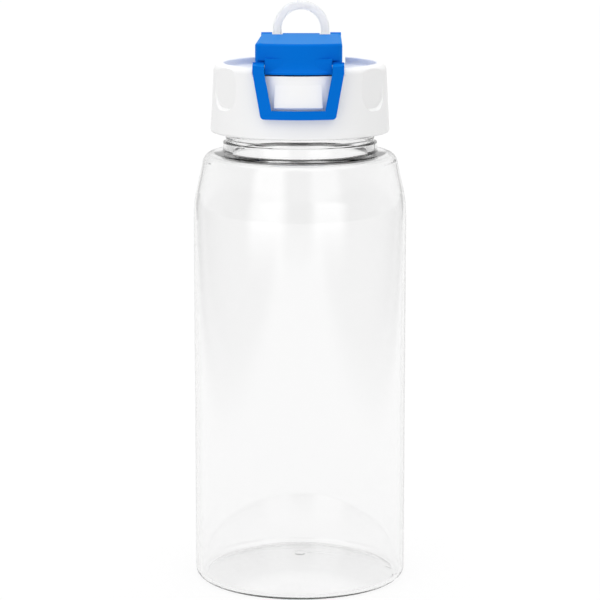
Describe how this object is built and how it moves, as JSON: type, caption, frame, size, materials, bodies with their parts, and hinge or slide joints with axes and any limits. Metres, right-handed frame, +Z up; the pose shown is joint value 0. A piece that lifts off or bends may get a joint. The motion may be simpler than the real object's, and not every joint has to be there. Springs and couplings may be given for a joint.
{
  "type": "wide-mouth sports bottle",
  "caption": "Clear cylindrical sports bottle with a screw lid, a flip cap with a latch bail over the spout and a carry loop.",
  "frame": {"origin": "centre of the base, on the surface the bottle stands on", "axes": "+Z up along the bottle's axis, -Y towards the front, where the latch bail is"},
  "size_m": [0.0864, 0.0864, 0.2355],
  "materials": {
    "clear_body": "clear, polished copolyester",
    "white_plastic": "moulded polypropylene, satin",
    "blue_plastic": "moulded polypropylene, satin",
    "loop_plastic": "translucent natural polypropylene",
    "silicone": "moulded silicone, matt",
    "pin_steel": "drawn stainless steel"
  },
  "bodies": {
    "bottle": {"bottle_body": "clear_body"},
    "seal_ring": {"neck_gasket": "silicone"},
    "lid": {"lid_shell": "white_plastic", "lid_core": "white_plastic", "hinge_pin": "pin_steel"},
    "cap": {"flip_cap": "blue_plastic", "spout_seal": "silicone", "latch_pin": "pin_steel"},
    "bail": {"latch_bail": "blue_plastic"},
    "loop": {"carry_loop": "loop_plastic"}
  },
  "joints": [
    {"name": "lid_lift", "type": "slide", "parent": "bottle", "child": "seal_ring", "axis": [0, 0, 1], "range_m": [0, 0.0189]},
    {"name": "lid_turn", "type": "hinge", "parent": "seal_ring", "child": "lid", "pos_m": [0, 0, 0.2], "axis": [0, 0, 1], "range_deg": [0, 1620]},
    {"name": "flip_open", "type": "hinge", "parent": "lid", "child": "cap", "pos_m": [0, 0.025, 0.2166], "axis": [-1, 0, 0], "range_deg": [0, 95]},
    {"name": "latch_swing", "type": "hinge", "parent": "cap", "child": "bail", "pos_m": [0, -0.0312, 0.2132], "axis": [-1, 0, 0], "range_deg": [0, 68]},
    {"name": "loop_swing", "type": "hinge", "parent": "cap", "child": "loop", "pos_m": [0, 0.025, 0.2166], "axis": [-1, 0, 0], "range_deg": [-23, 23]}
  ],
  "couplings": [
    {"joint": "lid_lift", "follows": "lid_turn", "m_per_rad": 0.00066845}
  ]
}
